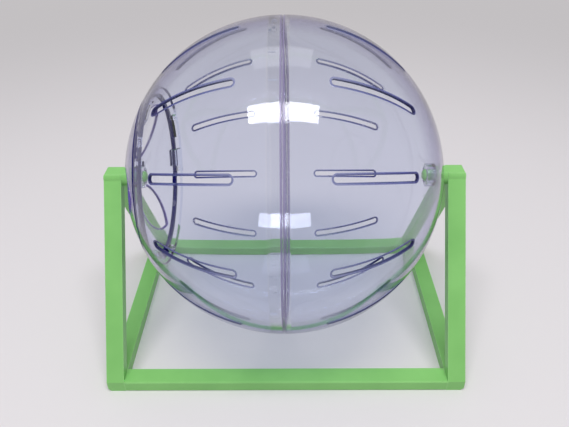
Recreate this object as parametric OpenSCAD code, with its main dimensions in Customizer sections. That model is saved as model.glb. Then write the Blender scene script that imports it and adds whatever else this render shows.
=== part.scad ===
// Clear pet exercise ball, made of two halves and a twist-off door, turning on a green A-frame stand.
// The origin is on the floor under the middle of the ball. +X runs along the spin axis, away from the
// door, -Y faces the front and +Z is up.

/* [Ball] */
// Outside diameter of the ball
ball_d = 160; // [152:1:168]
// Thickness of the clear shell
shell_wall = 1.4; // [1.2:0.1:1.8]

/* [Air slots] */
// Air slots round each half
slot_count = 12; // [8:1:14]
// Width of an air slot
slot_w = 2.8; // [2.2:0.1:4]
// Distance from the seam to the near end of a slot
slot_start = 19.8; // [15:0.2:26]
// Distance along the axis from the far end of a slot to the edge of the door opening
slot_to_door = 10.8; // [9:0.1:16]

/* [Seam between the halves] */
// Length of the lip that slides into the left half
lip_length = 6; // [5:0.2:8]
// Thickness of the lip
lip_wall = 2.3; // [2.1:0.1:3]
// Length of the band behind the lip where it joins the shell
lip_root = 3; // [2:0.2:5]
// Thickness left over the lip at the seam
socket_skin = 1.5; // [1.4:0.1:1.7]
// Radial clearance of the lip in its socket
lip_clearance = 0.1; // [0.05:0.01:0.1]
// Hairline between the two halves
seam_gap = 0.2; // [0.1:0.05:0.4]
// Clearance at the end of the lip
lip_end_gap = 0.5; // [0.3:0.05:0.8]
// Bayonet lugs round the seam
lug_count = 4; // [3:1:6]
// Length of a lug along the axis
lug_w = 1.4; // [1:0.1:2]
// Height of a lug above the socket wall
lug_h = 0.9; // [0.7:0.05:1]
// Angle that a lug covers
lug_angle = 8; // [6:1:10]
// Clearance round a lug in its groove
lug_clearance = 0.3; // [0.2:0.05:0.4]
// Angle left free at each end of a lug's travel
lug_play = 1; // [0.5:0.5:1.5]
// How much deeper a lug's way in is than its groove
entry_step = 0.1; // [0.05:0.05:0.2]
// How far a lug's way in reaches past its groove, as an angle
entry_play = 1.5; // [1:0.5:2]
// Angle that unlocks the halves
halves_twist = 12; // [10:1:16]

/* [Door] */
// Diameter of the door opening, at the outer surface
opening_d = 87; // [80:1:90]
// Gap round the edge of the door and under it
door_gap = 0.3; // [0.2:0.05:0.4]
// Width of the ledge that the door lies on
ledge_w = 2.2; // [1.8:0.1:2.6]
// Thickness of the ledge
ledge_wall = 1.2; // [1:0.1:1.6]
// Width of the ledge's root under the shell
ledge_root = 2.5; // [1.5:0.1:3.5]
// Angle that one of the door's bayonet tabs covers
tab_angle = 14; // [10:1:16]
// Thickness of a tab's leg and of its hook
tab_wall = 1.6; // [1.3:0.1:2]
// Angle that unlocks the door
door_twist = 25; // [22:1:28]
// Angle that a stop rib covers
stop_angle = 3; // [2:1:4]
// Angle left free beside a tab, in a notch or before a stop
tab_play = 1.5; // [1:0.5:2]

/* [Door vents] */
// Petal-shaped vents in the door, with a bayonet tab between each two
petal_count = 3; // [2:1:4]
// Distance from the axis to a petal's inner tip
petal_inner = 10; // [8:0.5:13]
// Width of the door's rim outside the petals
petal_rim = 3.7; // [3:0.1:7]
// Width across the middle of a petal
petal_w = 21; // [16:0.5:22]
// Angle of the first petal, from straight down towards the back
petal_turn = 15; // [10:1:20]

/* [Axles] */
// Diameter of an axle stub
axle_d = 6; // [5:0.2:7]
// Radial clearance of an axle stub in its hub
axle_clearance = 0.06; // [0.02:0.01:0.1]
// Diameter of a hub
hub_d = 12; // [10:0.5:15]
// Depth of a hub, from the ball's pole inwards
hub_depth = 6.5; // [5:0.5:8]
// How far an axle stub stands out behind its hub
axle_tip = 1.5; // [1:0.1:2.5]
// Chamfer at the end of an axle stub
axle_chamfer = 1; // [0.5:0.1:1.4]
// Diameter of the shoulder round an axle stub
shoulder_d = 10; // [9:0.5:11]
// Running gap between the shoulder and the ball
shoulder_gap = 0.6; // [0.4:0.05:0.8]

/* [Stand] */
// Height of the spin axis above the floor
axle_height = 95; // [90:1:105]
// Gap between the ball's poles and the side frames
side_gap = 3.8; // [3:0.1:6]
// Width of a side frame along the spin axis
frame_w = 9; // [7.5:0.1:12]
// Thickness of a leg, square to its slope
leg_t = 6; // [5:0.1:7]
// Front to back length of the stand
base_depth = 120; // [110:1:135]
// Front to back length of the flat on top of a side frame
apex_w = 6.8; // [6:0.1:8]
// Height of that flat above the spin axis
apex_rise = 3.6; // [3.3:0.1:4.5]
// Radius of the web round the axle in a side frame
apex_boss_r = 5.4; // [4.5:0.1:5.6]
// Front to back width of a crossbar
bar_w = 9.4; // [8:0.1:11]
// Height of the crossbars and the floor rails
bar_h = 6.4; // [5.5:0.1:8]
// Chamfer along the long edges of a crossbar
bar_chamfer = 0.5; // [0.3:0.1:0.8]
// Chamfer along the outer lower edge of a side frame
foot_chamfer = 1.6; // [0.8:0.1:2.4]
// Chamfer along the outer edge of a side frame's flat top
apex_chamfer = 0.5; // [0.3:0.1:0.8]

/* [Crossbar tenons] */
// Length of a tenon
tenon_l = 5.5; // [4:0.1:6.5]
// Front to back width of a tenon
tenon_w = 5; // [4:0.1:6]
// Height of a tenon
tenon_h = 3.2; // [2.6:0.1:4]
// Clearance round a tenon in its socket
tenon_clearance = 0.15; // [0.1:0.01:0.25]

/* [Hidden] */
$fn = 96;

// Overrun that carries each cut clear past the surface that it opens
overrun = 1;
// How deep one piece of a solid is sunk into the next, so that they fuse
bury = 0.6;
// Shares of the ball's radius between which the cutter of a slot reaches
slot_cut_inner_share = 0.91;
slot_cut_outer_share = 1.09;

ball_r = ball_d / 2;
inner_r = ball_r - shell_wall;
opening_r = opening_d / 2;

// The slots, as latitudes from the seam's plane. They end short of the door opening.
slot_end = sqrt(ball_r * ball_r - opening_r * opening_r) - slot_to_door;
slot_end_angle = asin(slot_w / 2 / ball_r);
slot_low = asin(slot_start / ball_r) + slot_end_angle;
slot_high = asin(slot_end / ball_r) - slot_end_angle;

// The seam: socket, lip, lugs and groove, all coaxial
socket_r = ball_r - socket_skin;
lip_r = socket_r - lip_clearance;
lip_inner_r = lip_r - lip_wall;
socket_end = lip_length + lip_end_gap;
lug_tip_r = socket_r - lug_h;
groove_r = lug_tip_r - lug_clearance;
lug_mid = lip_length / 2 + lug_w / 2;
groove_low = lug_mid - lug_w / 2 - lug_clearance;
groove_high = lug_mid + lug_w / 2 + lug_clearance;
groove_play = asin(lug_clearance / groove_r) + lug_play;

// The door: its rim, the ledge under it and the tabs behind the ledge
door_r = opening_r - door_gap;
petal_outer = door_r - petal_rim;
ledge_top_r = inner_r - door_gap;
ledge_bottom_r = ledge_top_r - ledge_wall;
ledge_inner_r = opening_r - ledge_w;
ledge_outer_r = opening_r + ledge_root;
hook_top_r = ledge_bottom_r - door_gap;
hook_bottom_r = hook_top_r - tab_wall;
tab_outer_r = ledge_inner_r - door_gap;
tab_inner_r = tab_outer_r - tab_wall;
tab_turn = petal_turn + 180 / petal_count;
stop_far_angle = tab_angle / 2 + tab_play + stop_angle / 2;

// The hubs and the axle stubs, as places along the spin axis
hub_face = ball_r - hub_depth;
axle_end = hub_face - axle_tip;
hub_bore_r = axle_d / 2 + axle_clearance;
frame_inner = ball_r + side_gap;
frame_outer = frame_inner + frame_w;
shoulder_face = ball_r + shoulder_gap;

// The side frame: its slope and the corners of its opening
apex_top = axle_height + apex_rise;
leg_run = (base_depth - apex_w) / 2;
leg_slope = atan(leg_run / (apex_top - bar_h));
leg_run_t = leg_t / cos(leg_slope);
opening_half = base_depth / 2 - leg_run_t;
opening_apex = bar_h + opening_half / tan(leg_slope);
bar_y = (base_depth - bar_w) / 2;

// Turns what is drawn about the Z axis onto the spin axis: its +Z runs along +X here
module on_axle() {
    translate([0, 0, axle_height]) rotate([0, 90, 0]) children();
}

// The space between two spheres round the ball's centre
module ball_zone(outer, inner) {
    difference() {
        sphere(outer);
        sphere(inner);
    }
}

// The part of a ring that spans an angle round its middle direction
module ring_part(inner, outer, low, high, middle, span) {
    rotate(middle - span / 2)
        rotate_extrude(angle = span)
            translate([inner, low]) square([outer - inner, high - low]);
}

module tube(inner, outer, low, high) {
    translate([0, 0, low])
        difference() {
            cylinder(h = high - low, r = outer);
            translate([0, 0, -overrun]) cylinder(h = high - low + 2 * overrun, r = inner);
        }
}

// Everything on one side of the seam's plane, from a given distance on
module half_space(side, from) {
    translate([-ball_d, -ball_d, side > 0 ? from : -from - ball_d]) cube([2 * ball_d, 2 * ball_d, ball_d]);
}

// Half of the shell, from a given distance off the seam's plane. Its spheres start midway between slots.
module half_shell(side, from) {
    intersection() {
        rotate(180 / slot_count) ball_zone(ball_r, inner_r);
        half_space(side, from);
    }
}

// One air slot along a meridian, with round ends
module slot_cutter(side) {
    low_r = ball_r * slot_cut_inner_share;
    high_r = ball_r * slot_cut_outer_share;
    rotate([90, 0, 0])
        linear_extrude(slot_w, center = true)
            polygon([
                for (corner = [
                    [low_r, slot_low], [high_r, slot_low], [high_r, slot_high], [low_r, slot_high]
                ])
                    corner[0] * [cos(corner[1]), side * sin(corner[1])]
            ]);
    for (latitude = [slot_low, slot_high])
        rotate([0, 90 - side * latitude, 0])
            translate([0, 0, low_r]) cylinder(h = high_r - low_r, d = slot_w);
}

module air_slots(side) {
    for (i = [0 : slot_count - 1])
        rotate(i * 360 / slot_count) slot_cutter(side);
}

// One lug's L-shaped groove in the lip: a way in from the lip's end, then a run along the seam
module lug_groove() {
    run = halves_twist + lug_angle + 2 * groove_play;
    way_in = lug_angle + 2 * groove_play + 2 * entry_play;
    ring_part(groove_r, socket_r, -groove_high, -groove_low, halves_twist / 2, run);
    ring_part(
        groove_r - entry_step, ball_r, -lip_length - overrun, -groove_low - entry_step,
        halves_twist, way_in
    );
}

module left_hemisphere() {
    color([0.80, 0.78, 0.92, 0.35])
    on_axle() {
        difference() {
            union() {
                half_shell(-1, seam_gap);
                // Ring that carries the socket
                intersection() {
                    sphere(ball_r);
                    tube(socket_r, ball_r, -socket_end, -seam_gap);
                }
                // Ledge round the door opening
                intersection() {
                    ball_zone(inner_r + bury, ledge_bottom_r);
                    tube(ledge_inner_r, ledge_outer_r, -ball_r, 0);
                }
            }
            // Socket for the lip
            translate([0, 0, -socket_end]) cylinder(h = socket_end, r = socket_r);
            // Seat for the door, down to the ledge
            difference() {
                translate([0, 0, -ball_r - overrun]) cylinder(h = ball_r, r = opening_r);
                sphere(ledge_top_r);
            }
            // Notches that let the door's tabs through the ledge
            for (i = [0 : petal_count - 1])
                ring_part(
                    0, opening_r, -ball_r, -overrun,
                    tab_turn + door_twist + i * 360 / petal_count, tab_angle + 2 * tab_play
                );
            air_slots(-1);
        }
        // Lugs that hold in the lip's grooves
        for (i = [0 : lug_count - 1])
            ring_part(
                lug_tip_r, socket_r + bury, -lug_mid - lug_w / 2, -lug_mid + lug_w / 2,
                i * 360 / lug_count, lug_angle
            );
        // Stop ribs under the ledge, at each end of a tab's travel
        intersection() {
            ball_zone(ledge_bottom_r + bury, hook_bottom_r);
            for (i = [0 : petal_count - 1], place = [-stop_far_angle, door_twist + stop_far_angle + tab_play])
                ring_part(
                    tab_outer_r + 2 * door_gap, opening_r, -ball_r, 0,
                    tab_turn + place + i * 360 / petal_count, stop_angle
                );
        }
    }
}

module right_hemisphere() {
    color([0.80, 0.78, 0.92, 0.35])
    on_axle()
        difference() {
            union() {
                half_shell(1, 0);
                // Band and lip of the seam
                intersection() {
                    sphere(ball_r);
                    tube(lip_inner_r, ball_r, 0, lip_root);
                }
                tube(lip_inner_r, lip_r, -lip_length, bury);
                // Hub
                translate([0, 0, hub_face])
                    cylinder(h = hub_depth - shell_wall + bury, d = hub_d);
            }
            translate([0, 0, hub_face - overrun]) cylinder(h = hub_depth + 2 * overrun, r = hub_bore_r);
            for (i = [0 : lug_count - 1])
                rotate(i * 360 / lug_count) lug_groove();
            air_slots(1);
        }
}

// The cutter of one petal: a leaf where two cylinders cross
module petal_cutter() {
    half_length = (petal_outer - petal_inner) / 2;
    half_width = petal_w / 2;
    side_r = (half_length * half_length + half_width * half_width) / petal_w;
    translate([petal_inner + half_length, 0, -ball_r - overrun])
        intersection_for(side = [-1, 1])
            translate([0, side * (side_r - half_width), 0]) cylinder(h = ball_r / 2, r = side_r);
}

module door_tab() {
    intersection() {
        ball_zone(inner_r + bury, hook_bottom_r);
        ring_part(tab_inner_r, tab_outer_r, -ball_r, 0, 0, tab_angle);
    }
    intersection() {
        ball_zone(hook_top_r, hook_bottom_r);
        ring_part(tab_inner_r, door_r, -ball_r, 0, 0, tab_angle);
    }
}

module door() {
    color([0.80, 0.78, 0.92, 0.35])
    on_axle() {
        difference() {
            union() {
                intersection() {
                    ball_zone(ball_r, inner_r);
                    translate([0, 0, -ball_r - overrun]) cylinder(h = ball_r, r = door_r);
                }
                // Hub
                translate([0, 0, -ball_r + shell_wall - bury])
                    cylinder(h = hub_depth - shell_wall + bury, d = hub_d);
            }
            translate([0, 0, -ball_r - overrun]) cylinder(h = hub_depth + 2 * overrun, r = hub_bore_r);
            for (i = [0 : petal_count - 1])
                rotate(petal_turn + i * 360 / petal_count) petal_cutter();
        }
        for (i = [0 : petal_count - 1])
            rotate(tab_turn + i * 360 / petal_count) door_tab();
    }
}

// Side view of a side frame, with its three-cornered opening: across is front to back, up is height
module side_profile() {
    difference() {
        polygon([
            [-base_depth / 2, 0], [base_depth / 2, 0], [base_depth / 2, bar_h],
            [apex_w / 2, apex_top], [-apex_w / 2, apex_top], [-base_depth / 2, bar_h]
        ]);
        polygon([[-opening_half, bar_h], [opening_half, bar_h], [0, opening_apex]]);
    }
    translate([0, axle_height]) circle(apex_boss_r);
}

// Front view of a side frame's outline, with its chamfered foot
module side_section() {
    polygon([
        [frame_inner, 0], [frame_outer - foot_chamfer, 0], [frame_outer, foot_chamfer],
        [frame_outer, apex_top - apex_chamfer], [frame_outer - apex_chamfer, apex_top],
        [frame_inner, apex_top]
    ]);
}

// Socket for one tenon, in the inner face of the right side frame
module tenon_socket() {
    wide = tenon_w + 2 * tenon_clearance;
    high = tenon_h + 2 * tenon_clearance;
    translate([frame_inner - overrun, -wide / 2, (bar_h - high) / 2])
        cube([tenon_l + tenon_clearance + overrun, wide, high]);
}

module side_frame() {
    difference() {
        intersection() {
            translate([frame_inner, 0, 0])
                rotate([90, 0, 90]) linear_extrude(frame_w) side_profile();
            rotate([90, 0, 0]) linear_extrude(2 * base_depth, center = true) side_section();
        }
        for (y = [-bar_y, bar_y])
            translate([0, y, 0]) tenon_socket();
    }
    // Shoulder, flat on top like the frame, and axle stub
    on_axle() {
        intersection() {
            translate([0, 0, shoulder_face])
                cylinder(h = frame_inner - shoulder_face + bury, d = shoulder_d);
            translate([-apex_rise, -shoulder_d, 0]) cube([2 * shoulder_d, 2 * shoulder_d, frame_outer]);
        }
        translate([0, 0, axle_end + axle_chamfer])
            cylinder(h = frame_inner - axle_end - axle_chamfer + bury, d = axle_d);
        translate([0, 0, axle_end])
            cylinder(h = axle_chamfer, r1 = axle_d / 2 - axle_chamfer, r2 = axle_d / 2);
    }
}

module right_side_frame() {
    color([0.36, 0.72, 0.26]) side_frame();
}

module left_side_frame() {
    color([0.36, 0.72, 0.26]) mirror([1, 0, 0]) side_frame();
}

// A crossbar between the side frames, with a tenon at each end
module crossbar() {
    half_w = bar_w / 2;
    rotate([90, 0, 90])
        linear_extrude(2 * frame_inner, center = true)
            polygon([
                [-half_w + bar_chamfer, 0], [half_w - bar_chamfer, 0], [half_w, bar_chamfer],
                [half_w, bar_h - bar_chamfer], [half_w - bar_chamfer, bar_h],
                [-half_w + bar_chamfer, bar_h], [-half_w, bar_h - bar_chamfer], [-half_w, bar_chamfer]
            ]);
    translate([-frame_inner - tenon_l, -tenon_w / 2, (bar_h - tenon_h) / 2])
        cube([2 * (frame_inner + tenon_l), tenon_w, tenon_h]);
}

module front_crossbar() {
    color([0.36, 0.72, 0.26]) translate([0, -bar_y, 0]) crossbar();
}

module rear_crossbar() {
    color([0.36, 0.72, 0.26]) translate([0, bar_y, 0]) crossbar();
}

left_hemisphere();
right_hemisphere();
door();
left_side_frame();
right_side_frame();
front_crossbar();
rear_crossbar();
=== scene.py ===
# A clear ball with a faint violet tint, turning on a lime-green stand. All lengths are in metres.
import math

import bmesh
import bpy
import numpy as np
from mathutils import Matrix, Vector
from mathutils.geometry import delaunay_2d_cdt


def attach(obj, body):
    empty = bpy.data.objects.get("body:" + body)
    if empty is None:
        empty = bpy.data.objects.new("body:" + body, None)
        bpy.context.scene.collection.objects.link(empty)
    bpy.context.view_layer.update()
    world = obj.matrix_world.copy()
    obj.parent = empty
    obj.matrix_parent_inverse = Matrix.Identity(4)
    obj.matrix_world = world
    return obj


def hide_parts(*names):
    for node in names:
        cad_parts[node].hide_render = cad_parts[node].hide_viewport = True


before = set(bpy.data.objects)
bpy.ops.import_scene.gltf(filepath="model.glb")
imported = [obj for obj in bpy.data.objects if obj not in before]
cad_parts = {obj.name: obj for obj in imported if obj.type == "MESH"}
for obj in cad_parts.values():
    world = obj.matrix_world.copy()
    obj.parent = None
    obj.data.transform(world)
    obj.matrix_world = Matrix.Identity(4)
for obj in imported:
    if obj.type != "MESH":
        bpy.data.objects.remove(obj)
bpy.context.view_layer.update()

# The camera, fitted to the object's edges: image size, focal length and principal point in pixels
IMAGE_W, IMAGE_H = 569, 427
FOCAL_PX = 560.8
CENTRE_PX = (284.3, 195.05)
CAMERA_PLACE = (0.0025, -0.2502, 0.2458)
CAMERA_PITCH, CAMERA_YAW, CAMERA_ROLL = math.radians(33.05), math.radians(0.60), math.radians(-0.66)
SENSOR_W = 36.0

# The lamp over the ball that both highlights point to, seen from the ball's centre, and the weak
# one behind whose pale patch lies near the top of the ball
BALL_CENTRE = Vector((0, 0, 0.095))
LAMP_HEIGHT = 1.2
LAMP_FORWARD_SHARE = 0.32
LAMP_W_SHARE, LAMP_D_SHARE = 0.82, 0.24
LAMP_POWER = 13.5
BACK_PLACE, BACK_AIM = (-0.016, 0.54, 1.225), (0.0, -0.029, 0.1695)
BACK_SIZE = (0.64, 0.41)
BACK_POWER = 0.9
WORLD_COLOUR, WORLD_STRENGTH = (0.98, 0.98, 1.0), 0.36
BACKDROP_COLOUR, BACKDROP_STRENGTH = (1.0, 0.965, 0.985), 0.55

FLOOR_SIZE = 8.0
FLOOR_COLOUR = (0.74, 0.71, 0.73)
# Between these distances from the object the floor passes into the backdrop
FADE_FROM, FADE_TO = 0.22, 0.9

# Clear plastic: index and gloss, the tint of a wall seen straight on and along its length, and that
# of its shadow. Along its length the deeper tint is partly painted shade at the silhouette.
PLASTIC_IOR = 1.38
PLASTIC_SPECULAR = 0.16
WALL_TINT = (0.875, 0.90, 0.98)
GRAZE_TINT_AND_SHADE = (0.10, 0.05, 0.32)
GRAZE_FROM = 0.55
SHADOW_TINT = (0.86, 0.878, 0.907)
# A tint drifts down to this share of itself, on the walls and elsewhere
WALL_DRIFT, TINT_DRIFT = 0.985, 0.97
# Its roughness where it is clear and where it is hazy, what a scratch adds, and the noise levels
# between which haze and scratches set in
CLEAR_ROUGH, HAZY_ROUGH, SCRATCH_ROUGH = 0.012, 0.05, 0.12
HAZE_SPAN, SCRATCH_SPAN = (0.35, 0.7), (0.66, 0.72)
# Its noises for haze, waviness and tint, by cells in a metre and detail, and the strength and depth
# of its waves
HAZE_NOISE, WAVE_NOISE, CAST_NOISE = (55.0, 4.0), (32.0, 1.0), (9.0, 2.0)
WAVE_BUMP = (0.05, 0.002)
# Cells of the scratches in a metre along each axis, before they are turned
SCRATCH_CELLS, SCRATCH_TURN = (60.0, 420.0, 900.0), (0.4, 0.7, 0.2)
# The joint of the halves has three surfaces in place of one, so each has the cube root of the tint
JOINT_TINT = tuple(t ** (1 / 3) for t in WALL_TINT)
# The ends of the seam's lugs and grooves are cloudy
LUG_CLEAR_SHARE = 0.2
LUG_TINT = (0.62, 0.64, 0.76)
# The rounded edges are painted dark, painted shade for the dark look of their bent light over the
# plastic's tint: their colour by distance from the seam's plane
EDGE_CLEAR_SHARE = 0.6
EDGE_REACH = 0.080
EDGE_PAINTED_SHADES = (
    (0.000, (0.31, 0.27, 0.46)),
    (0.006, (0.31, 0.27, 0.46)),
    (0.018, (0.31, 0.33, 0.53)),
    (0.030, (0.19, 0.21, 0.43)),
    (0.050, (0.08, 0.09, 0.33)),
    (0.057, (0.02, 0.02, 0.15)),
    (0.066, (0.02, 0.02, 0.15)),
    (0.068, (0.17, 0.12, 0.46)),
)
# The rim round the door is painted almost black blue, painted shade for the dark line that its bent
# light shows
RIM_CLEAR_SHARE = 0.05
RIM_SPECULAR = 0.1
RIM_PAINTED_SHADE = (0.008, 0.007, 0.11)

# The clear shells: their spheres, how near to one a skin's corners lie, and the least cosine
# between its faces' normals and the radius
BALL_R, INNER_R = 0.080, 0.0786
ON_SPHERE = 3e-6
ALONG_RADIUS = 0.98
# The points of an even skin: their spacing, the fewest in a row, their least distance from an edge
SHELL_STEP = 0.004
LEAST_IN_ROW = 6
CLEAR_OF_EDGE = 0.45 * SHELL_STEP
# In the plane, points nearer than this are one, and no edge's squared length counts as less
SAME_POINT, LEAST_SQUARE = 1e-9, 1e-18
# The radii of the rounded edges, and the number of faces across one
EDGE_ROUND, SEAM_ROUND = 0.00065, 0.00045
ROUND_STEPS = 4
# The band beside a rounded edge that takes the edges' painted shade, on the halves and on the door
EDGE_BAND, DOOR_BAND = 0.00045, 0.0009
# A skin's edge is convex if the wall's normal points away from the skin, by this cosine
CONVEX_BELOW = -0.3
# At a sharp corner a fillet reaches out no further than the inverse of this
MITRE_LEAST = 0.5
# Distances from the spin axis and the seam's plane that bound the seam's joint and the door's rim
SEAM_FAR, SEAM_WIDE = 0.0755, 0.0070
RIM_NEAR, RIM_FAR, RIM_OUT = 0.0411, 0.0437, 0.0648
# Shares of a face's normal that tell how it stands to the spin axis
TURNED_ROUND, TURNED_ALONG, TURNED_OFF = 0.5, 0.7, 0.2

# The finishes of a shell's faces, in the order of its materials; the edge and rim finishes carry
# painted shade
WALL, EDGE, RIM, JOINT, CLOUDY = range(5)
# The kinds of a shell's faces, by their normals: outer skin, inner skin, fillet, and any other
OUTER, INNER, FILLET, PLAIN = 1, -1, 2, 0

# Green plastic: its colours and roughness, and how far in and how much its edges are rubbed
GREEN_DARK, GREEN_LIGHT, GREEN_WORN = (0.21, 0.53, 0.145), (0.245, 0.59, 0.17), (0.37, 0.68, 0.29)
GREEN_SPAN = (0.35, 0.65)
GREEN_ROUGH, GREEN_ROUGH_SPAN = (0.34, 0.46), (0.3, 0.7)
WORN_RADIUS, WORN_SHARE, WORN_SPAN = 0.0009, 0.55, (0.86, 0.99)
# Its noises for colour, grain and sunken places, and the strength and depth of the last two
DRIFT_NOISE, GRAIN_NOISE, SINK_NOISE = (38.0, 3.0), (1500.0, 2.0), (45.0, 1.0)
GRAIN_BUMP, SINK_BUMP = (0.18, 0.0001), (0.15, 0.001)
# The stand's rounded edges. A crossbar's edges stay sharp where they meet a side frame.
EDGE_RADIUS = 0.0004
EDGE_STEPS = 3
FRAME_INNER = 0.0838
AT_FRAME = 1e-5
SHARP_ANGLE = math.radians(25)
FLAT_ANGLE = math.radians(0.5)
SMOOTH_ANGLE = math.radians(40)
WELD = 1e-6

# Sockets of a colour Mix node: its two colours and its result
MIX_A, MIX_B, MIX_OUT = 6, 7, 2


def add(tree, kind, **values):
    """A shader node with some of its input sockets set by name."""
    node = tree.nodes.new("ShaderNode" + kind)
    for name, value in values.items():
        node.inputs[name.replace("_", " ")].default_value = value
    return node


def join(tree, source, output, target, socket):
    tree.links.new(source.outputs[output], target.inputs[socket])


def new_material(name):
    material = bpy.data.materials.new(name)
    material.use_nodes = True
    material.node_tree.nodes.clear()
    return material, material.node_tree


def ranged(tree, source, output, low, high, start=0.0, end=1.0):
    """The source's value, carried from the span start to end onto low to high."""
    node = add(tree, "MapRange", From_Min=start, From_Max=end, To_Min=low, To_Max=high)
    join(tree, source, output, node, "Value")
    return node


def drifting(tree, source, output, low, high):
    """A colour between two, by the source's value."""
    mix = add(tree, "Mix")
    mix.data_type = "RGBA"
    mix.inputs[MIX_A].default_value = (*low, 1)
    mix.inputs[MIX_B].default_value = (*high, 1)
    join(tree, source, output, mix, 0)
    return mix


def noise(tree, place, scale, detail, **values):
    """A noise texture that is fixed to the object."""
    node = add(tree, "TexNoise", Scale=scale, Detail=detail, **values)
    join(tree, place, "Object", node, "Vector")
    return node


def bumped(tree, texture, strength, depth, under=None):
    """A bump by a noise texture, laid over another bump if there is one."""
    node = add(tree, "Bump", Strength=strength, Distance=depth)
    join(tree, texture, "Fac", node, "Height")
    if under:
        join(tree, under, "Normal", node, "Normal")
    return node


def wall_colour(tree, place, cast):
    """The walls' tint, deeper where a wall is seen along its length, partly for the longer way and
    partly painted shade at the silhouette: a node and its output.
    """
    straight = drifting(tree, cast, "Fac", [t * WALL_DRIFT for t in WALL_TINT], WALL_TINT)
    # Towards the silhouette the colour turns dark violet, partly painted shade
    view = add(tree, "LayerWeight", Blend=0.5)
    along = ranged(tree, view, "Facing", 0.0, 1.0, GRAZE_FROM, 1.0)
    colour = drifting(tree, along, "Result", WALL_TINT, GRAZE_TINT_AND_SHADE)
    join(tree, straight, MIX_OUT, colour, MIX_A)
    return colour, MIX_OUT


def even_colour(tint):
    """One tint all over that drifts faintly."""
    def colour(tree, place, cast):
        return drifting(tree, cast, "Fac", [t * TINT_DRIFT for t in tint], tint), MIX_OUT
    return colour


def edge_painted_shade(tree, place, cast):
    """The edges' painted shade over their tint, by the distance from the seam's plane."""
    parts = add(tree, "SeparateXYZ")
    join(tree, place, "Object", parts, "Vector")
    out_from_seam = add(tree, "Math")
    out_from_seam.operation = "ABSOLUTE"
    join(tree, parts, "X", out_from_seam, 0)
    share = ranged(tree, out_from_seam, "Value", 0.0, 1.0, 0.0, EDGE_REACH)
    ramp = add(tree, "ValToRGB")
    stops = ramp.color_ramp.elements
    while len(stops) < len(EDGE_PAINTED_SHADES):
        stops.new(1.0)
    for stop, (distance, colour) in zip(stops, EDGE_PAINTED_SHADES):
        stop.position = distance / EDGE_REACH
        stop.color = (*colour, 1)
    join(tree, share, "Result", ramp, "Fac")
    return ramp, "Color"


def clear_plastic(name, colour, clear_share=1.0, specular=PLASTIC_SPECULAR):
    """Clear moulded plastic with haze, handling scratches and a slight waviness."""
    material, tree = new_material(name)
    place = add(tree, "TexCoord")
    haze = noise(tree, place, *HAZE_NOISE, Roughness=0.6)
    stretch = add(tree, "Mapping", Scale=SCRATCH_CELLS, Rotation=SCRATCH_TURN)
    join(tree, place, "Object", stretch, "Vector")
    lines = add(tree, "TexNoise", Scale=1.0, Detail=3.0, Roughness=0.5, Distortion=0.6)
    join(tree, stretch, "Vector", lines, "Vector")
    scratch = ranged(tree, lines, "Fac", 0.0, 1.0, *SCRATCH_SPAN)
    smooth = ranged(tree, haze, "Fac", CLEAR_ROUGH, HAZY_ROUGH, *HAZE_SPAN)
    rough = add(tree, "Math")
    rough.operation = "MULTIPLY_ADD"
    rough.inputs[1].default_value = SCRATCH_ROUGH
    join(tree, scratch, "Result", rough, 0)
    join(tree, smooth, "Result", rough, 2)
    bump = bumped(tree, noise(tree, place, *WAVE_NOISE), *WAVE_BUMP)
    body = add(
        tree, "BsdfPrincipled",
        IOR=PLASTIC_IOR, Transmission_Weight=clear_share, Specular_IOR_Level=specular,
    )
    cast = noise(tree, place, *CAST_NOISE)
    join(tree, *colour(tree, place, cast), body, "Base Color")
    join(tree, rough, "Value", body, "Roughness")
    join(tree, bump, "Normal", body, "Normal")
    # Light for what is behind the plastic passes it unbent, from a lamp or off a matt surface
    through = add(tree, "BsdfTransparent", Color=(*SHADOW_TINT, 1))
    rays = add(tree, "LightPath")
    last = body, "BSDF"
    for kind in ("Is Diffuse Ray", "Is Shadow Ray"):
        mix = add(tree, "MixShader")
        join(tree, rays, kind, mix, 0)
        join(tree, *last, mix, 1)
        join(tree, through, "BSDF", mix, 2)
        last = mix, "Shader"
    out = add(tree, "OutputMaterial")
    join(tree, *last, out, "Surface")
    return material


def green_plastic(name):
    """Satin moulded plastic: faint colour drift, fine grain, and edges rubbed paler."""
    material, tree = new_material(name)
    place = add(tree, "TexCoord")
    drift = noise(tree, place, *DRIFT_NOISE)
    spread = ranged(tree, drift, "Fac", 0.0, 1.0, *GREEN_SPAN)
    colour = drifting(tree, spread, "Result", GREEN_DARK, GREEN_LIGHT)
    edge = add(tree, "Bevel", Radius=WORN_RADIUS)
    edge.samples = 6
    surface = add(tree, "NewGeometry")
    same = add(tree, "VectorMath")
    same.operation = "DOT_PRODUCT"
    join(tree, edge, "Normal", same, 0)
    join(tree, surface, "Normal", same, 1)
    worn = ranged(tree, same, "Value", WORN_SHARE, 0.0, *WORN_SPAN)
    paler = drifting(tree, worn, "Result", GREEN_LIGHT, GREEN_WORN)
    join(tree, colour, MIX_OUT, paler, MIX_A)
    grain = bumped(tree, noise(tree, place, *GRAIN_NOISE), *GRAIN_BUMP)
    sunken = bumped(tree, noise(tree, place, *SINK_NOISE), *SINK_BUMP, under=grain)
    rough = ranged(tree, drift, "Fac", *GREEN_ROUGH, *GREEN_ROUGH_SPAN)
    body = add(tree, "BsdfPrincipled", IOR=1.5)
    join(tree, paler, MIX_OUT, body, "Base Color")
    join(tree, rough, "Result", body, "Roughness")
    join(tree, sunken, "Normal", body, "Normal")
    out = add(tree, "OutputMaterial")
    join(tree, body, "BSDF", out, "Surface")
    return material


def for_seeing_rays(tree, lit, seen):
    """The shader seen for the camera, gloss and glass, and the other for the light on things."""
    rays = add(tree, "LightPath")
    last = lit
    for kind in ("Is Camera Ray", "Is Glossy Ray", "Is Transmission Ray"):
        mix = add(tree, "MixShader")
        join(tree, rays, kind, mix, 0)
        join(tree, last, 0, mix, 1)
        join(tree, seen, 0, mix, 2)
        last = mix
    return last


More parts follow.
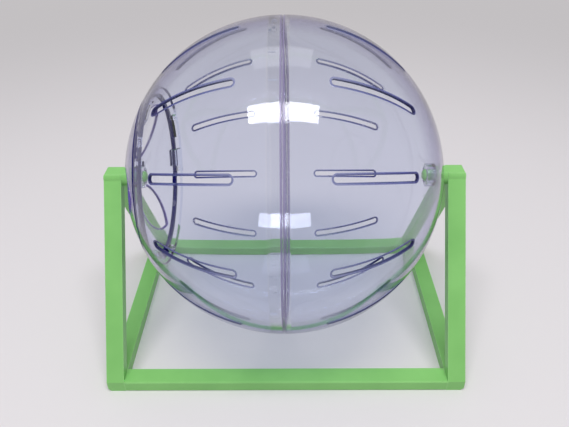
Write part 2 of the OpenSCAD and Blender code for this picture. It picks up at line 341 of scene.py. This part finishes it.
def pale_floor(name):
    """A matt pale floor that passes into the backdrop far from the object."""
    material, tree = new_material(name)
    body = add(tree, "BsdfPrincipled", Base_Color=(*FLOOR_COLOUR, 1), Roughness=0.6)
    far = add(tree, "Emission", Color=(*BACKDROP_COLOUR, 1), Strength=BACKDROP_STRENGTH)
    place = add(tree, "TexCoord")
    distance = add(tree, "VectorMath")
    distance.operation = "LENGTH"
    join(tree, place, "Object", distance, 0)
    fade = ranged(tree, distance, "Value", 0.0, 1.0, FADE_FROM, FADE_TO)
    fade.interpolation_type = "SMOOTHSTEP"
    faded = add(tree, "MixShader")
    join(tree, fade, "Result", faded, 0)
    join(tree, body, "BSDF", faded, 1)
    join(tree, far, "Emission", faded, 2)
    out = add(tree, "OutputMaterial")
    join(tree, for_seeing_rays(tree, body, faded), "Shader", out, "Surface")
    return material


def mesh_from(bm, name):
    """The mesh of a finished shape, without the stale normals that its source carried."""
    mesh = bpy.data.meshes.new(name)
    bm.to_mesh(mesh)
    bm.free()
    for layer in [a.name for a in mesh.attributes if "normal" in a.name]:
        mesh.attributes.remove(mesh.attributes[layer])
    return mesh


def add_object(name, mesh, *materials):
    thing = bpy.data.objects.new(name, mesh)
    bpy.context.scene.collection.objects.link(thing)
    for material in materials:
        mesh.materials.append(material)
    return thing


def rounded_copy(node_name, name, body, material):
    """A copy of a solid whose sharp edges are rounded."""
    def meets_frame(e):
        return "crossbar" in node_name and all(
            abs(abs(v.co.x) - FRAME_INNER) < AT_FRAME for v in e.verts
        )
    bm = bmesh.new()
    bm.from_mesh(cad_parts[node_name].data)
    bmesh.ops.remove_doubles(bm, verts=bm.verts, dist=WELD)
    bmesh.ops.dissolve_limit(bm, angle_limit=FLAT_ANGLE, verts=bm.verts, edges=bm.edges)
    sharp = [
        e for e in bm.edges
        if len(e.link_faces) == 2 and e.calc_face_angle() > SHARP_ANGLE and not meets_frame(e)
    ]
    bmesh.ops.bevel(
        bm, geom=sharp, offset=EDGE_RADIUS, segments=EDGE_STEPS, profile=0.5, affect="EDGES",
        clamp_overlap=True,
    )
    bmesh.ops.recalc_face_normals(bm, faces=bm.faces)
    for face in bm.faces:
        face.smooth = True
    mesh = mesh_from(bm, name)
    mesh.set_sharp_from_angle(angle=SMOOTH_ANGLE)
    piece = add_object(name, mesh, material)
    even = piece.modifiers.new("even_normals", "WEIGHTED_NORMAL")
    even.keep_sharp = True
    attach(piece, body)
    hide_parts(node_name)


def ordered_loops(pairs):
    """Closed loops of vertices, from the edges that make them up."""
    following = {}
    for a, b in pairs:
        following.setdefault(a, []).append(b)
        following.setdefault(b, []).append(a)
    loops, used = [], set()
    for first in following:
        if first in used:
            continue
        loop, here = [first], first
        used.add(first)
        while True:
            ahead = [v for v in following[here] if v not in used]
            if not ahead:
                break
            here = ahead[0]
            used.add(here)
            loop.append(here)
        loops.append(loop)
    return loops


def flatten(point):
    """A point of a sphere round the ball's centre, laid in a plane by its arc from the pole."""
    way = point - BALL_CENTRE
    across = math.hypot(way.y, way.z)
    arc = math.atan2(across, abs(way.x)) * BALL_R
    return Vector((arc * way.y / across, arc * way.z / across)) if across else Vector((0, 0))


def unflatten(flat, radius, side):
    """The point of the sphere of a given radius that flatten takes to this point of the plane."""
    arc = flat.length / BALL_R
    spread = math.sin(arc) * radius / flat.length if flat.length else 0
    return BALL_CENTRE + Vector((side * math.cos(arc) * radius, flat.x * spread, flat.y * spread))


def inside(points, edges):
    """Which points lie in the region that the edges bound, by the count of edges to their right."""
    x, y = points[:, 0:1], points[:, 1:2]
    ax, ay, bx, by = (edges[:, i] for i in range(4))
    crosses = (ay > y) != (by > y)
    at = ax + (y - ay) * (bx - ax) / np.where(by == ay, 1, by - ay)
    return (crosses & (x < at)).sum(1) % 2 == 1


def fill_sphere(bm, loops, radius, side):
    """Covers the region of a sphere between closed loops with even triangles, and returns these."""
    flats, pairs, corners = [], [], []
    for loop in loops:
        start = len(corners)
        corners += loop
        flats += [flatten(v.co) for v in loop]
        pairs += [(start + i, start + (i + 1) % len(loop)) for i in range(len(loop))]
    edges = np.array([(*flats[a], *flats[b]) for a, b in pairs])
    reach = max(f.length for f in flats)
    grid = []
    for row in range(int(reach / SHELL_STEP) + 1):
        arc = (row + 0.5) * SHELL_STEP
        round_about = math.tau * math.sin(min(arc / BALL_R, math.pi / 2)) * BALL_R
        count = max(LEAST_IN_ROW, round(round_about / SHELL_STEP))
        turns = [math.tau * (i + 0.5 * (row % 2)) / count for i in range(count)]
        grid += [(arc * math.cos(turn), arc * math.sin(turn)) for turn in turns]
    grid = np.array(grid)
    grid = grid[inside(grid, edges)]
    start, run = edges[:, :2], edges[:, 2:] - edges[:, :2]
    share = ((grid[:, None] - start) * run).sum(2) / np.maximum((run * run).sum(1), LEAST_SQUARE)
    nearest = start + np.clip(share, 0, 1)[..., None] * run
    clear = np.sqrt(((grid[:, None] - nearest) ** 2).sum(2).min(1)) > CLEAR_OF_EDGE
    for flat in grid[clear]:
        flats.append(Vector(flat))
        corners.append(bm.verts.new(unflatten(Vector(flat), radius, side)))
    _, _, triangles, original, _, _ = delaunay_2d_cdt(flats, pairs, [], 0, SAME_POINT)
    source = [ids[0] for ids in original]
    middles = np.array([sum((flats[source[i]] for i in t), Vector((0, 0))) / 3 for t in triangles])
    wanted = [t for t, keep in zip(triangles, inside(middles, edges)) if keep]
    return [bm.faces.new([corners[source[i]] for i in t]) for t in wanted]


def skin_of(bm, radius, sense):
    """The faces of a solid that lie on a sphere round the ball's centre and face out or in."""
    def on_sphere(v):
        return abs((v.co - BALL_CENTRE).length - radius) < ON_SPHERE
    return {
        f for f in bm.faces
        if all(on_sphere(v) for v in f.verts)
        and sense * f.normal.dot((f.calc_center_median() - BALL_CENTRE).normalized()) > ALONG_RADIUS
    }


def from_axis(point):
    return math.hypot(point.y - BALL_CENTRE.y, point.z - BALL_CENTRE.z)


def rims_of(bm, skin):
    """The closed edges of a skin: vertices, ways into the skin at them, distance from the axis if
    it is even all round, and whether the edge is convex."""
    ways, convex, pairs = {}, {}, []
    for e in bm.edges:
        faces = [f for f in e.link_faces if f in skin]
        if len(faces) != 1:
            continue
        wall = next(f for f in e.link_faces if f not in skin)
        run = (e.verts[1].co - e.verts[0].co).normalized()
        way = faces[0].calc_center_median() - e.verts[0].co
        way = (way - way.dot(run) * run).normalized()
        key = frozenset(e.verts)
        ways[key] = way
        convex[key] = wall.normal.dot(way) < CONVEX_BELOW
        pairs.append(tuple(e.verts))
    rims = []
    for loop in ordered_loops(pairs):
        keys = [frozenset((loop[i], loop[(i + 1) % len(loop)])) for i in range(len(loop))]
        into = []
        for i in range(len(loop)):
            middle = (ways[keys[i - 1]] + ways[keys[i]]).normalized()
            into.append(middle / max(middle.dot(ways[keys[i]]), MITRE_LEAST))
        far = [from_axis(v.co) for v in loop]
        ring = max(far) - min(far) < ON_SPHERE
        rims.append((loop, into, far[0] if ring else None, all(convex[k] for k in keys)))
    return rims


def bridge(bm, low, high):
    """The faces between two loops of as many vertices."""
    following = zip(low, low[1:] + low[:1], high[1:] + high[:1], high)
    return [bm.faces.new(corners) for corners in following]


def round_loop(bm, loop, into_surface, into_wall, facing, radius):
    """Rounds a convex edge. Its own vertices go down the wall, and new ones carry an arc up to the
    surface. Returns the last ring, the faces and the normals of the vertices."""
    rings = [loop] + [[] for _ in range(ROUND_STEPS)]
    normals = {}
    for v, along, down, out in zip(loop, into_surface, into_wall, facing):
        place = v.co.copy()
        wall_out = -(along - along.dot(down) * down).normalized()
        centre = place + radius * (along + down)
        reach = (place - BALL_CENTRE).length
        for step in range(ROUND_STEPS + 1):
            turn = math.pi / 2 * step / ROUND_STEPS
            at = centre - radius * (along * math.cos(turn) + down * math.sin(turn))
            if step == ROUND_STEPS:
                at = BALL_CENTRE + (at - BALL_CENTRE).normalized() * reach
            if step:
                point = bm.verts.new(at)
                rings[step].append(point)
            else:
                v.co = at
                point = v
            normals[point] = (wall_out * math.cos(turn) + out * math.sin(turn)).normalized()
    faces = []
    for low, high in zip(rings, rings[1:]):
        faces += bridge(bm, low, high)
    return rings[-1], faces, normals


def widened(bm, loop, into_surface, width):
    """A ring on the sphere at a given width beyond a loop, and the faces between them."""
    ring = []
    for v, along in zip(loop, into_surface):
        way = v.co + along * width - BALL_CENTRE
        ring.append(bm.verts.new(BALL_CENTRE + way.normalized() * (v.co - BALL_CENTRE).length))
    return ring, bridge(bm, loop, ring)


def finish_of(face):
    """The finish of a face that is on neither sphere, by its place."""
    middle = face.calc_center_median()
    far, out = from_axis(middle), abs(middle.x)
    if far > SEAM_FAR and out < SEAM_WIDE:
        way = Vector((0, middle.y, middle.z - BALL_CENTRE.z)).normalized()
        if abs(face.normal.cross(way).x) > TURNED_ROUND:
            return CLOUDY
        # Faces across the joint take the edges' painted shade
        return EDGE if abs(face.normal.x) > TURNED_ALONG else JOINT
    # The door's rim faces take the rim's painted shade
    if RIM_NEAR < far < RIM_FAR and out > RIM_OUT and abs(face.normal.x) < TURNED_OFF:
        return RIM
    return WALL


def set_normals(mesh, kinds, round_normals):
    """Exact normals for the skins and the fillets, whose vertices have theirs in round_normals."""
    normals = [n.vector.copy() for n in mesh.corner_normals]
    for polygon, kind in zip(mesh.polygons, kinds):
        for corner in polygon.loop_indices:
            at = mesh.loops[corner].vertex_index
            if kind == FILLET:
                normals[corner] = round_normals[at]
            elif kind in (OUTER, INNER):
                normals[corner] = (mesh.vertices[at].co - BALL_CENTRE).normalized() * kind
    mesh.normals_split_custom_set(normals)


def soft_shell(node_name, name, body, materials):
    """A copy of a clear solid with even skins, rounded edges, and a material for each finish."""
    bm = bmesh.new()
    bm.from_mesh(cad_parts[node_name].data)
    bmesh.ops.remove_doubles(bm, verts=bm.verts, dist=WELD)
    side = 1 if sum(v.co.x for v in bm.verts) > 0 else -1
    band = DOOR_BAND if node_name == "door" else EDGE_BAND
    radii = {OUTER: BALL_R, INNER: INNER_R}
    skins = {sense: skin_of(bm, radius, sense) for sense, radius in radii.items()}
    rims = [(sense, *rim) for sense, skin in skins.items() for rim in rims_of(bm, skin)]
    old_skins = [f for f in bm.faces if any(f in skin for skin in skins.values())]
    bmesh.ops.delete(bm, geom=old_skins, context="FACES")
    finishes = {f: finish_of(f) for f in bm.faces}
    kind_of, round_normals = {}, {}
    loops = {OUTER: [], INNER: []}
    for sense, loop, into, far, convex in rims:
        at_seam = far is not None and far > SEAM_FAR
        if convex and not (sense == INNER and at_seam):
            outward = [(v.co - BALL_CENTRE).normalized() * sense for v in loop]
            if at_seam:
                down = [Vector((0, -v.co.y, BALL_CENTRE.z - v.co.z)).normalized() for v in loop]
            elif far or node_name == "door":
                down = [Vector((-side * sense, 0, 0))] * len(loop)
            else:
                down = [-way for way in outward]
            radius = SEAM_ROUND if at_seam else EDGE_ROUND
            loop, faces, normals = round_loop(bm, loop, into, down, outward, radius)
            round_normals.update(normals)
            kind_of.update(dict.fromkeys(faces, FILLET))
            # The faces round a rounded edge take the painted shade of the rim or of the edges
            finish = RIM if far and RIM_NEAR < far < RIM_FAR else EDGE
            for face in {other for f in faces for e in f.edges for other in e.link_faces}:
                finishes[face] = finish
            # Beyond an outer rounded edge a band of the sphere takes the edges' painted shade
            if (far is None or at_seam) and sense == OUTER:
                loop, faces = widened(bm, loop, into, band)
                for face in faces:
                    finishes[face], kind_of[face] = EDGE, sense
        loops[sense].append(loop)
    for sense, radius in radii.items():
        for face in fill_sphere(bm, loops[sense], radius, side):
            finishes[face], kind_of[face] = WALL, sense
    bmesh.ops.recalc_face_normals(bm, faces=bm.faces)
    for face in bm.faces:
        face.smooth = True
        face.material_index = finishes[face]
    kinds = [kind_of.get(f, PLAIN) for f in bm.faces]
    bm.faces.index_update()
    for e in bm.edges:
        met = {kinds[f.index] for f in e.link_faces}
        if len(met) > 1 or met == {PLAIN} and e.calc_face_angle(0) > SHARP_ANGLE:
            e.smooth = False
    bm.verts.index_update()
    round_normals = {v.index: n for v, n in round_normals.items()}
    mesh = mesh_from(bm, name)
    set_normals(mesh, kinds, round_normals)
    piece = add_object(name, mesh, *materials)
    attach(piece, body)
    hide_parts(node_name)


def place_camera():
    pitch, yaw, roll = CAMERA_PITCH, CAMERA_YAW, CAMERA_ROLL
    forward = math.cos(pitch)
    ahead = Vector((-math.sin(yaw) * forward, math.cos(yaw) * forward, -math.sin(pitch)))
    level = Vector((math.cos(yaw), math.sin(yaw), 0))
    upward = level.cross(ahead)
    right = math.cos(roll) * level + math.sin(roll) * upward
    up = -math.sin(roll) * level + math.cos(roll) * upward
    data = bpy.data.cameras.new("camera")
    data.sensor_fit = "HORIZONTAL"
    data.sensor_width = SENSOR_W
    data.lens = FOCAL_PX / IMAGE_W * SENSOR_W
    data.shift_x = (IMAGE_W / 2 - CENTRE_PX[0]) / IMAGE_W
    data.shift_y = (CENTRE_PX[1] - IMAGE_H / 2) / IMAGE_W
    data.clip_start = 0.01
    camera = bpy.data.objects.new("camera", data)
    turn = Matrix((right, up, -ahead)).transposed().to_4x4()
    camera.matrix_world = Matrix.Translation(CAMERA_PLACE) @ turn
    bpy.context.scene.collection.objects.link(camera)
    bpy.context.scene.camera = camera


def place_lamp(name, place, aim, size, power):
    data = bpy.data.lights.new(name, "AREA")
    data.shape = "RECTANGLE"
    data.size, data.size_y = size
    data.energy = power
    lamp = bpy.data.objects.new(name, data)
    lamp.location = place
    lamp.rotation_euler = (Vector(aim) - Vector(place)).to_track_quat("-Z", "Y").to_euler()
    bpy.context.scene.collection.objects.link(lamp)


def light_scene():
    over = BALL_CENTRE + Vector((0, -LAMP_FORWARD_SHARE * LAMP_HEIGHT, LAMP_HEIGHT))
    size = LAMP_W_SHARE * LAMP_HEIGHT, LAMP_D_SHARE * LAMP_HEIGHT
    place_lamp("lamp_over", over, BALL_CENTRE, size, LAMP_POWER)
    place_lamp("lamp_back", BACK_PLACE, BACK_AIM, BACK_SIZE, BACK_POWER)
    world = bpy.data.worlds.new("world")
    world.use_nodes = True
    tree = world.node_tree
    tree.nodes.clear()
    # The object is lit by the dimmer sky, and the camera, gloss and glass see the backdrop
    lit = add(tree, "Background", Color=(*WORLD_COLOUR, 1), Strength=WORLD_STRENGTH)
    seen = add(tree, "Background", Color=(*BACKDROP_COLOUR, 1), Strength=BACKDROP_STRENGTH)
    out = add(tree, "OutputWorld")
    join(tree, for_seeing_rays(tree, lit, seen), "Shader", out, "Surface")
    bpy.context.scene.world = world


def lay_floor():
    mesh = bpy.data.meshes.new("floor")
    half = FLOOR_SIZE / 2
    corners = [(-half, -half, 0), (half, -half, 0), (half, half, 0), (-half, half, 0)]
    mesh.from_pydata(corners, [], [(0, 1, 2, 3)])
    floor = add_object("floor", mesh, pale_floor("floor_pale"))


place_camera()
light_scene()
lay_floor()

green = green_plastic("green_stand_plastic")
for node_name, body, slot in (
    ("left_hemisphere", "left_half", "clear_shell"),
    ("right_hemisphere", "right_half", "clear_shell"),
    ("door", "door", "clear_door"),
):
    # The edge and rim materials are painted shade over the plastic's tint
    finishes = [
        clear_plastic(f"{node_name}_{word}plastic", *values)
        for word, *values in (
            ("", wall_colour),
            ("edge_", edge_painted_shade, EDGE_CLEAR_SHARE),
            ("rim_", even_colour(RIM_PAINTED_SHADE), RIM_CLEAR_SHARE, RIM_SPECULAR),
            ("joint_", even_colour(JOINT_TINT)),
            ("lug_", even_colour(LUG_TINT), LUG_CLEAR_SHARE),
        )
    ]
    soft_shell(node_name, node_name + "_rounded", body, finishes)
for node_name, slot in (
    ("left_side_frame", "green_stand"),
    ("right_side_frame", "green_stand"),
    ("front_crossbar", "green_crossbar"),
    ("rear_crossbar", "green_crossbar"),
):
    rounded_copy(node_name, node_name + "_rounded", "stand", green)

bpy.context.scene.view_settings.view_transform = "Standard"
